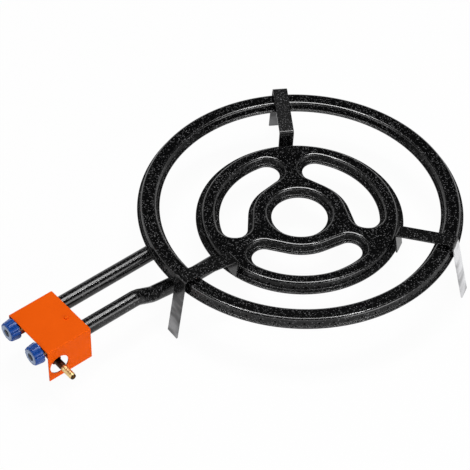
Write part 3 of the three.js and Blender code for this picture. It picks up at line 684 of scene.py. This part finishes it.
def floor_section(depth, hem_run):
    """Inner face of the floor plate, over its lip, down and under."""
    inset = 2.4
    corners = [
        (hem_run - inset, SHEET - depth, 0),
        (hem_run - SHEET, SHEET - depth, 0),
        (hem_run - SHEET, HEM_HEIGHT - depth, 0.35),
        (hem_run, HEM_HEIGHT - depth, 0.8),
        (hem_run, -depth, 1.0),
        (hem_run - inset, -depth, 0),
    ]
    return rounded_section(corners, 4)


def lifted(rows, top):
    return [(run, height + top) for run, height in rows]


def open_ports(bm, grid, rows, depth, sides):
    outside, inside = port_rows(rows, depth)
    for side in sides:
        open_port(bm, grid, outside, inside, side)


def outer_ring():
    for name, section in (("skin", shell_section), ("floor", floor_section)):
        rows = section(OUTER["depth"], OUTER["hem"])
        contours = [
            (circle_contour(OUTER["flat_out"], 1), lifted(rows, OUTER["top"])),
            (circle_contour(OUTER["flat_in"], -1), lifted(rows, OUTER["top"])),
        ]
        bm, grids = pressed(contours, OUTER["top"], WALL_GLOSS["outer"])
        if name == "skin":
            for grid in grids:
                sides = range(0, len(grid[0]), len(grid[0]) // PORTS["outer"])
                open_ports(bm, grid, rows, OUTER["depth"], sides)
        piece = piece_from("outer_ring_" + name + "_look", bm)
        solid = "outer_ring_shell" if name == "skin" else "outer_ring_floor"
        finish_piece(piece, ENAMEL, "burner", [solid])
        even_shading(piece)


def inner_burner():
    for name, section in (("skin", shell_section), ("floor", floor_section)):
        rim_rows = section(INNER["depth"], INNER["hem"])
        slot_rows = section(INNER["depth"], INNER["slot_hem"])
        contours = [(circle_contour(INNER["flat_out"], 1), lifted(rim_rows, INNER["top"]))]
        for slot in range(SLOT["count"]):
            points = slot_contour(SLOT["azimuth"] + slot * 360 / SLOT["count"])
            contours.append((points, lifted(slot_rows, INNER["top"])))
        contours.append((circle_contour(SLOT["hole"], -1), lifted(slot_rows, INNER["top"])))
        bm, grids = pressed(contours, INNER["top"], WALL_GLOSS["inner"])
        if name == "skin":
            count = len(grids[0][0])
            sides = range(0, count, count // PORTS["inner"])
            open_ports(bm, grids[0], rim_rows, INNER["depth"], sides)
            rim, end = SLOT["rim"] - SAME_SPOT, PORTS["slot_end"]
            for (points, _), grid in zip(contours[1:-1], grids[1:-1]):
                near_rim = [k for k, point in enumerate(points) if math.hypot(*point[:2]) > rim]
                sides = near_rim[end : -end : PORTS["slot_step"]]
                open_ports(bm, grid, slot_rows, INNER["depth"], sides)
        piece = piece_from("inner_burner_" + name + "_look", bm)
        solid = "inner_burner_shell" if name == "skin" else "inner_burner_floor"
        finish_piece(piece, ENAMEL, "burner", [solid])
        even_shading(piece)


def soften_edges(bm, edges, radius, segments):
    """Rounds the given edges of a bmesh."""
    bmesh.ops.bevel(
        bm,
        geom=edges,
        offset=radius,
        offset_type="OFFSET",
        segments=segments,
        profile=0.5,
        affect="EDGES",
        material=-1,
    )


def hem_reach(hem, aside):
    """How far out a round hem's edge is where a strap set aside from the axis crosses it."""
    near = max(abs(aside) - STRAP["width"] / 2, 0)
    return math.sqrt(hem * hem - near * near)


def strap(name, plan):
    """Bent flat bar: tab, bridge and leg drawn from the side, then given its width."""
    outer_hem = OUTER["flat_out"] + OUTER["hem"]
    inner_hem = INNER["flat_out"] + INNER["hem"]
    outer_hem_top = OUTER["top"] - OUTER["depth"] + HEM_HEIGHT
    inner_hem_top = INNER["top"] - INNER["depth"] + HEM_HEIGHT
    through = STRAP["thick"] * math.hypot(1, plan["slope"])
    tab_through = STRAP["thick"] * math.hypot(1, STRAP["tab_slope"])
    leg_at = hem_reach(outer_hem, plan["aside"]) + GAP + through
    tab_at = hem_reach(inner_hem, plan["aside"]) + GAP - plan["on_hem"]

    def leg(height):
        return leg_at + plan["slope"] * (outer_hem_top - height)

    def tab(height):
        return tab_at + STRAP["tab_slope"] * (inner_hem_top - height)

    low = (inner_hem_top if plan["on_hem"] else INNER["top"] - INNER["depth"]) + GAP
    crown = STRAP["crown"]
    bend, inside = STRAP["bend"], STRAP["bend"] - STRAP["thick"]
    reach = leg(crown) - tab(STRAP["tab"])
    tilt = (crown - STRAP["tab"]) / reach
    drop = STRAP["thick"] * math.hypot(1, tilt)
    corners = [
        (tab(low), low, 0),
        (tab(STRAP["tab"]), STRAP["tab"], bend * 0.6),
        (leg(crown), crown, bend),
        (leg(0), 0, 0),
        (leg(0) - through, 0, 0),
    ]
    # The inner corners lie where two lines meet, and a few rounds settle them
    rounds = 8
    inner_leg_x = leg(crown) - through
    inner_corner_z = crown - drop
    for _ in range(rounds):
        inner_corner_z = crown - drop - tilt * (leg(crown) - inner_leg_x)
        inner_leg_x = leg(inner_corner_z) - through
    corners.append((inner_leg_x, inner_corner_z, inside))
    inner_tab_x = tab(STRAP["tab"]) + tab_through
    inner_tab_z = STRAP["tab"]
    for _ in range(rounds):
        inner_tab_z = STRAP["tab"] - drop + tilt * (inner_tab_x - tab(STRAP["tab"]))
        inner_tab_x = tab(inner_tab_z) + tab_through
    corners.append((inner_tab_x, inner_tab_z, inside * 0.4))
    corners.append((tab(low) + tab_through, low, 0))
    outline = rounded_section(corners, 8)
    bm = bmesh.new()
    side = [bm.verts.new((run, STRAP["width"] / 2, height)) for run, height in outline]
    face = bm.faces.new(side)
    made = bmesh.ops.extrude_face_region(bm, geom=[face])["geom"]
    moved = [item for item in made if isinstance(item, bmesh.types.BMVert)]
    bmesh.ops.translate(bm, verts=moved, vec=(0, -STRAP["width"], 0))
    bmesh.ops.recalc_face_normals(bm, faces=bm.faces)
    rims = [edge for edge in bm.edges if edge.calc_face_angle(0) > math.radians(60)]
    soften_edges(bm, rims, STRAP["edge"], 2)
    middle = (tab(crown) + leg(crown)) / 2
    depth = bm.verts.layers.float.new("fall")
    for vert in bm.verts:
        fall = crown - vert.co.z if vert.co.x > middle else 0
        vert[depth] = fall * MM if vert.co.x > leg(crown) - through - bend else 0
        vert.co.y += plan["aside"] + plan["lean"] * fall
    turn = Matrix.Rotation(math.radians(plan["azimuth"]), 3, "Z")
    bmesh.ops.rotate(bm, verts=bm.verts, cent=(0, 0, 0), matrix=turn)
    piece = piece_from("support_" + name + "_look", bm)
    finish = strap_finish(name, plan["bare"], *LEG_PAINTED_REFLECTION_GREYS[name])
    finish_piece(piece, finish, "burner", ["support_" + name])
    even_shading(piece)


def swept_tube(name, x, line, outer, inner, sides=48):
    """Tube through (y, z) points, its far skin returning inside, one closed wall."""
    bm = bmesh.new()
    rings = []
    for which, (y, z) in enumerate(line):
        before = line[max(which - 1, 0)]
        after = line[min(which + 1, len(line) - 1)]
        lean = math.atan2(after[1] - before[1], after[0] - before[0])
        rings.append((y, z, lean))
    spots = []
    for radius, order in ((outer, rings), (inner, rings[::-1])):
        for y, z, lean in order:
            size = radius(y) if callable(radius) else radius
            ring = []
            for side in range(sides):
                angle = FULL_TURN * side / sides
                across, rise = size * math.cos(angle), size * math.sin(angle)
                ring.append((x + across, y - rise * math.sin(lean), z + rise * math.cos(lean)))
            spots.append(ring)
    loop, edges = start_loop(bm, spots[0])
    first = edges
    for ring in spots[1:]:
        loop, edges = grow_loop(bm, loop, edges, ring)
    bmesh.ops.bridge_loops(bm, edges=first + edges)
    bmesh.ops.recalc_face_normals(bm, faces=bm.faces)
    gloss = bm.verts.layers.float.new("gloss")
    for vert in bm.verts:
        vert[gloss] = TUBE_GLOSS
    return piece_from(name, bm)


def rounded_line(corners, radius, step=2.5):
    """Rounds the inner corners of a (y, z) line and splits it into short lengths."""
    line = [Vector(corners[0])]
    for before, corner, after in zip(corners, corners[1:], corners[2:]):
        here = Vector(corner)
        come = (here - Vector(before)).normalized()
        leave = (Vector(after) - here).normalized()
        half = come.angle(leave) / 2
        trim = radius * math.tan(half)
        start, end = here - come * trim, here + leave * trim
        for share in (k / 8 for k in range(9)):
            first = start.lerp(here, share)
            second = here.lerp(end, share)
            line.append(first.lerp(second, share))
    line.append(Vector(corners[-1]))
    fine = [line[0]]
    for here, there in zip(line, line[1:]):
        pieces = max(1, math.ceil((there - here).length / step))
        fine += [here.lerp(there, (k + 1) / pieces) for k in range(pieces)]
    return [tuple(point) for point in fine]


def ring_y(x, radius):
    return -math.sqrt(radius * radius - x * x)


def feed_tubes():
    bore = TUBE_RADIUS - TUBE_WALL
    past_feed = 11
    outer_mid = (OUTER["flat_in"] + OUTER["flat_out"]) / 2
    inner_mid = (SLOT["rim"] + INNER["flat_out"]) / 2
    outer_end = ring_y(TUBE_X["outer"], outer_mid - past_feed)
    inner_end = ring_y(TUBE_X["inner"], inner_mid - past_feed)
    straight = rounded_line([(TUBE_MOUTH_Y, TUBE_Z), (outer_end, TUBE_Z)], 0)
    tube = swept_tube("feed_tube_outer_look", TUBE_X["outer"], straight, TUBE_RADIUS, bore)
    finish_piece(tube, ENAMEL, "burner", ["feed_tube_outer"])
    crease_width = 1.6

    def pinched(y):
        pinch = sum(deep * math.exp(-(((y - at) / crease_width) ** 2)) for at, deep in CREASES)
        return TUBE_RADIUS - pinch

    corners = [(TUBE_MOUTH_Y, TUBE_Z), *SWAN_NECK, (inner_end, LOW_TUBE_Z)]
    bent = rounded_line(corners, SWAN_NECK_BEND, 1.5)
    tube = swept_tube("feed_tube_inner_look", TUBE_X["inner"], bent, pinched, bore)
    finish_piece(tube, ENAMEL, "burner", ["feed_tube_inner"])


def cutter(name, radius, start, end, sides=64):
    """Round cutter between two points in millimetres."""
    bm = bmesh.new()
    start, end = Vector(start), Vector(end)
    along = end - start
    turn = along.to_track_quat("Z", "Y").to_matrix().to_4x4()
    matrix = Matrix.Translation((start + end) / 2) @ turn
    bmesh.ops.create_cone(
        bm,
        cap_ends=True,
        segments=sides,
        radius1=radius,
        radius2=radius,
        depth=along.length,
        matrix=matrix,
    )
    return piece_from(name, bm)


def baked(piece):
    """Applies a piece's modifiers to its mesh."""
    graph = bpy.context.evaluated_depsgraph_get()
    mesh = bpy.data.meshes.new_from_object(piece.evaluated_get(graph))
    piece.modifiers.clear()
    old, piece.data = piece.data, mesh
    bpy.data.meshes.remove(old)


def soft_edges(piece, width, sharper_than):
    """Bevels the edges sharper than that many degrees and applies the piece's modifiers."""
    soft = piece.modifiers.new("soft_edges", "BEVEL")
    soft.width = width * MM
    soft.segments = 2
    soft.limit_method = "ANGLE"
    soft.angle_limit = math.radians(sharper_than)
    baked(piece)


def hood():
    """Folded sheet box, open at the front and below, with its holes and soft cut edges."""
    bm = bmesh.new()
    bmesh.ops.create_cube(bm, size=1)
    ends = (("left", "right"), ("front", "back"), ("bottom", "top"))
    size = [HOOD[high] - HOOD[low] for low, high in ends]
    middle = [(HOOD[low] + HOOD[high]) / 2 for low, high in ends]
    bmesh.ops.scale(bm, vec=size, verts=bm.verts)
    bmesh.ops.translate(bm, vec=middle, verts=bm.verts)
    raised = [vert for vert in bm.verts if vert.co.x < middle[0] and vert.co.z < middle[2]]
    bmesh.ops.translate(bm, vec=(0, 0, HOOD_LEFT_BOTTOM - HOOD["bottom"]), verts=raised)
    for face in bm.faces:
        face.normal_update()
    away = [face for face in bm.faces if face.normal.y < -0.5 or face.normal.z < -0.5]
    bmesh.ops.delete(bm, geom=away, context="FACES")
    folds = [edge for edge in bm.edges if len(edge.link_faces) == 2]
    soften_edges(bm, folds, HOOD_FOLD, 5)
    piece = piece_from("hood_look", bm)
    wall = piece.modifiers.new("wall", "SOLIDIFY")
    wall.thickness = HOOD_SHEET * MM
    wall.offset = -1
    wall.use_even_offset = True
    past = 8
    right, back, top = (
        (HOOD[wall] - past, HOOD[wall] + past) for wall in ("right", "back", "top")
    )
    at_side = [(x, INLET["y"], SIDE_HOLE["z"]) for x in right]
    at_screw = [(SCREW["x"], SCREW["y"], z) for z in top]
    holes = [
        cutter("cut_side", SIDE_HOLE["radius"], *at_side),
        cutter("cut_screw", SCREW["hole"], *at_screw),
    ]
    for x in TUBE_X.values():
        at_tube = [(x, y, TUBE_Z) for y in back]
        holes.append(cutter("cut_tube", TUBE_RADIUS + TUBE_PLAY, *at_tube))
    for hole in holes:
        trim = piece.modifiers.new("hole", "BOOLEAN")
        trim.operation = "DIFFERENCE"
        trim.solver = "EXACT"
        trim.object = hole
    soft_edges(piece, 0.3, 50)
    for hole in holes:
        bpy.data.objects.remove(hole)
    finish_piece(piece, ORANGE, "burner", ["hood"])
    even_shading(piece)


def smooth_copy(node, finish, body, soften=0.25, crease=40):
    """Copy of a solid, merged, with softened edges."""
    bm = bmesh.new()
    bm.from_mesh(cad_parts[node].data)
    bmesh.ops.remove_doubles(bm, verts=bm.verts, dist=MERGE * MM)
    level = math.radians(0.5)
    flat = [edge for edge in bm.edges if edge.is_manifold and edge.calc_face_angle(0) < level]
    bmesh.ops.dissolve_edges(bm, edges=flat, use_verts=False)
    piece = piece_from(node + "_look", bm, 1)
    if soften:
        soft_edges(piece, soften, crease)
    finish_piece(piece, finish, body, [node], crease)
    return piece


def knob(name, x):
    """Fluted grip with a soft front rim, its bezel, cap and spindle."""
    body = "knob_" + name + "_body"
    angles = [FULL_TURN * side / KNOB["sides"] for side in range(KNOB["sides"])]
    narrow_flutes = 1.6

    def outline(size, depth, dip):
        spots = []
        for angle in angles:
            radius = size - dip * max(0.0, math.cos(KNOB["flutes"] * angle)) ** narrow_flutes
            across, rise = radius * math.cos(angle), radius * math.sin(angle)
            spots.append((x + across, KNOB["back"] - depth, TAP_Z + rise))
        return spots

    length, front = KNOB["length"], KNOB["front"]
    narrowing = KNOB["radius"] * (1 - KNOB["front_share"]) / length
    insets = [(0, 1.2), (0.25, 0.4), (0.8, 0.15), (3, 0), (12, 0), (13.8, 0.2), (14.6, 0.6)]
    insets.append((front, 1.2))
    rows = [(KNOB["radius"] - narrowing * depth - inset, depth) for depth, inset in insets]
    bore, recess = KNOB["bore"], BEZEL["outside"] + BEZEL["play"]
    bm = bmesh.new()
    loop, edges = start_loop(bm, outline(*rows[0], KNOB["dip"]))
    first = edges
    for row in rows[1:]:
        loop, edges = grow_loop(bm, loop, edges, outline(*row, KNOB["dip"]))
    for size, depth in ((recess, front), (recess, length), (bore, length), (bore, 0.0)):
        loop, edges = grow_loop(bm, loop, edges, outline(size, depth, 0.0))
    bmesh.ops.bridge_loops(bm, edges=first + edges)
    bmesh.ops.recalc_face_normals(bm, faces=bm.faces)
    piece = piece_from("knob_" + name + "_look", bm)
    finish_piece(piece, BLUE, body, ["knob_" + name], 30)
    back = length + GAP
    inside, outside = BEZEL["inside"], BEZEL["outside"]
    corners = [(inside, back, 0), (inside, back + 2.0, 0.3), (inside + 1, back + 2.2, 0.3)]
    corners += [(outside - 1.6, back + 1.7, 0.5), (outside - 0.5, back + 2.2, 0.3)]
    corners += [(outside, back + 1.7, 0.3), (outside, back, 0)]
    bm = turned([(radius, depth - KNOB["back"], soft) for radius, depth, soft in corners], 72)
    to_front = Matrix.Rotation(-FULL_TURN / 4, 3, "Z")
    bmesh.ops.rotate(bm, verts=bm.verts, cent=(0, 0, 0), matrix=to_front)
    bmesh.ops.translate(bm, vec=(x, 0, TAP_Z), verts=bm.verts)
    ring = piece_from("knob_bezel_" + name + "_look", bm)
    finish_piece(ring, DIAL, body, ["knob_bezel_" + name])
    cap = smooth_copy("knob_cap_" + name, CAP, body, 0.3)
    for vert in cap.data.vertices:
        vert.co.x = x * MM + (vert.co.x - x * MM) * CAP_WIDENING
        vert.co.z = TAP_Z * MM + (vert.co.z - TAP_Z * MM) * CAP_WIDENING
    smooth_copy("spindle_" + name, ZINC, body, 0.2)


def turned(corners, steps):
    """Spins a section of (radius, along, rounding) about the X axis."""
    outline = rounded_section(corners, 3)
    bm = bmesh.new()
    verts = [bm.verts.new((along, 0, radius)) for radius, along in outline]
    edges = [bm.edges.new((verts[k], verts[(k + 1) % len(verts)])) for k in range(len(verts))]
    bmesh.ops.spin(
        bm,
        geom=verts + edges,
        cent=(0, 0, 0),
        axis=(1, 0, 0),
        angle=FULL_TURN,
        steps=steps,
        use_merge=True,
        use_duplicate=False,
    )
    bmesh.ops.remove_doubles(bm, verts=bm.verts, dist=MERGE)
    bmesh.ops.recalc_face_normals(bm, faces=bm.faces)
    return bm


def barb():
    """Turned hose barb with its ridges, spun about its own axis."""
    hidden, seat, root = -13.0, -6.7, 5.6
    bore, crest = BARB["bore"], BARB_RADIUS["crest"]
    valley, end = BARB_RADIUS["valley"], BARB_RADIUS["end"]
    start = BARB["tip_x"] - BARB["ridges"] * BARB["pitch"]
    corners = [(bore, hidden, 0), (end, hidden, 0), (end, seat, 0), (root, seat, 0.4)]
    corners += [(root, start - root, 0.6), (valley, start - root, 0.5)]
    for ridge in range(BARB["ridges"]):
        at = start + ridge * BARB["pitch"]
        last = ridge == BARB["ridges"] - 1
        corners.append((crest, at + 0.2, 0.35))
        corners.append((end if last else valley, at + BARB["pitch"], 0.25 if last else 0.2))
    corners.append((bore, BARB["tip_x"], 0.3))
    bm = turned(corners, 48)
    bmesh.ops.translate(bm, vec=(0, INLET["y"], INLET["z"]), verts=bm.verts)
    piece = piece_from("hose_barb_look", bm)
    finish_piece(piece, BARB_BRASS, "burner", ["hose_barb"])


def small_parts():
    """Small fittings, as softened copies of their solids."""
    looks = {
        "weld_": (ENAMEL, "black_enamel", 0.6),
        "tube_end_plug_": (ENAMEL, "black_enamel", 0.3),
        "feed_neck_": (ZINC, "zinc_steel", 0.2),
        "tube_collar_": (ZINC, "zinc_steel", 0.3),
        "tap_body_": (BRASS, "brass", 0.3),
        "gland_nut_": (BRASS, "brass", 0.3),
        "injector_": (BRASS, "brass", 0.2),
        "bar_bracket": (ZINC, "zinc_steel", 0.3),
        "hood_screw_nut": (ZINC, "zinc_steel", 0.3),
        "bar_screw": (ZINC, "zinc_steel", 0.3),
        "gas_bar_plug": (ZINC, "zinc_steel", 0.2),
        "inlet_elbow": (ORANGE, "orange_paint", 0.4),
    }
    for node in sorted(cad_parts):
        for start, (finish, slot, soften) in looks.items():
            if node.startswith(start):
                smooth_copy(node, finish, "burner", soften)
                break
    smooth_copy("gas_bar", ENAMEL, "burner", 0.6)
    screw = smooth_copy("hood_screw", ORANGE, "burner", 0.6)
    # The head's lower rim, lifted by the softening, goes back down on the hood
    low, rim = HOOD["top"] * MM, 0.7 * MM
    for vert in screw.data.vertices:
        if low < vert.co.z < low + rim:
            vert.co.z = low


def studio():
    """Pale floor, white backdrop low all round, soft lamps overhead."""
    bm = bmesh.new()
    bmesh.ops.create_grid(bm, x_segments=8, y_segments=8, size=FLOOR_REACH)
    floor = piece_from("floor", bm)
    paint = Paint("floor_white", 0.9, Specular_IOR_Level=0.1)
    paint.colour(paint.blend((0.86, 0.86, 0.86), (0.9, 0.9, 0.9), paint.noise(0.4, 2.0)))
    glow = paint.node("ShaderNodeEmission", {}, {"Color": (1.0, 1.0, 1.0), "Strength": 1.0})
    plain = paint.rays("Is Camera Ray") + paint.rays("Is Glossy Ray")
    plain = plain + paint.rays("Is Transmission Ray")
    lit = Field(paint, paint.shader.outputs[0])
    inputs = {0: plain * FLOOR_GLOW, 1: lit, 2: glow}
    paint.finish("Material Output", paint.node("ShaderNodeMixShader", {}, inputs))
    floor.data.materials.append(paint.material)

    world = bpy.data.worlds.new("studio")
    scene.world = world
    world.use_nodes = True
    room = Nodes(world.node_tree)
    height = room.split(room.node("ShaderNodeTexCoord", {}, {}, "Generated"), "Z")
    low = 1 - height.step(*BACKDROP["fade"])
    mirrored = room.rays("Is Glossy Ray") + room.rays("Is Transmission Ray")
    seen = room.rays("Is Camera Ray")
    level = low * (BACKDROP["light"] + mirrored * (1 - BACKDROP["light"])) + BACKDROP["ceiling"]
    inputs = {"Color": (1.0, 1.0, 1.0), "Strength": seen + (1 - seen) * level}
    room.finish("World Output", room.node("ShaderNodeBackground", {}, inputs))

    view_turn = math.radians(PHOTO["azimuth"])
    for name, (across, near, up, wide, deep, glow_level) in LAMPS.items():
        lamp = bpy.data.lights.new(name, "AREA")
        lamp.shape = "RECTANGLE"
        lamp.size, lamp.size_y = wide, deep
        lamp.energy = glow_level * wide * deep * math.pi
        holder = bpy.data.objects.new(name, lamp)
        scene.collection.objects.link(holder)
        spot = Matrix.Rotation(view_turn, 3, "Z") @ Vector((across, -near, up))
        aim = Vector((0, 0, LAMP_AIM)) - spot
        holder.location = spot
        holder.rotation_euler = aim.to_track_quat("-Z", "Y").to_euler()
        holder.visible_camera = False


def camera():
    tilt, roll = math.radians(PHOTO["elevation"]), math.radians(PHOTO["roll"])
    forward = Vector((0, math.cos(tilt), -math.sin(tilt)))
    right = Vector((math.cos(roll), 0, 0))
    right += math.sin(roll) * Vector((0, math.sin(tilt), math.cos(tilt)))
    up = right.cross(forward)
    half = PHOTO["frame"] / 2
    across = (PHOTO["origin"][0] - half) / PHOTO["focal"]
    rise = -(PHOTO["origin"][1] - half) / PHOTO["focal"]
    spot = -PHOTO["distance"] * (forward + across * right + rise * up)
    turn = Matrix.Rotation(math.radians(PHOTO["azimuth"]), 3, "Z")
    lens = bpy.data.cameras.new("photo_camera")
    lens.sensor_fit = "HORIZONTAL"
    lens.sensor_width = 36
    lens.lens = PHOTO["focal"] / PHOTO["frame"] * lens.sensor_width
    lens.clip_end = 50
    holder = bpy.data.objects.new("photo_camera", lens)
    scene.collection.objects.link(holder)
    axes = turn @ Matrix((right, up, -forward)).transposed()
    place = turn @ spot + Vector((0, 0, PHOTO["origin_height"]))
    holder.matrix_world = Matrix.Translation(place) @ axes.to_4x4()
    scene.camera = holder


outer_ring()
inner_burner()
for strap_name, strap_plan in STRAPS.items():
    strap(strap_name, strap_plan)
feed_tubes()
hood()
for knob_name, knob_x in TUBE_X.items():
    knob(knob_name, knob_x)
barb()
small_parts()
studio()
camera()
scene.view_settings.view_transform = "Standard"
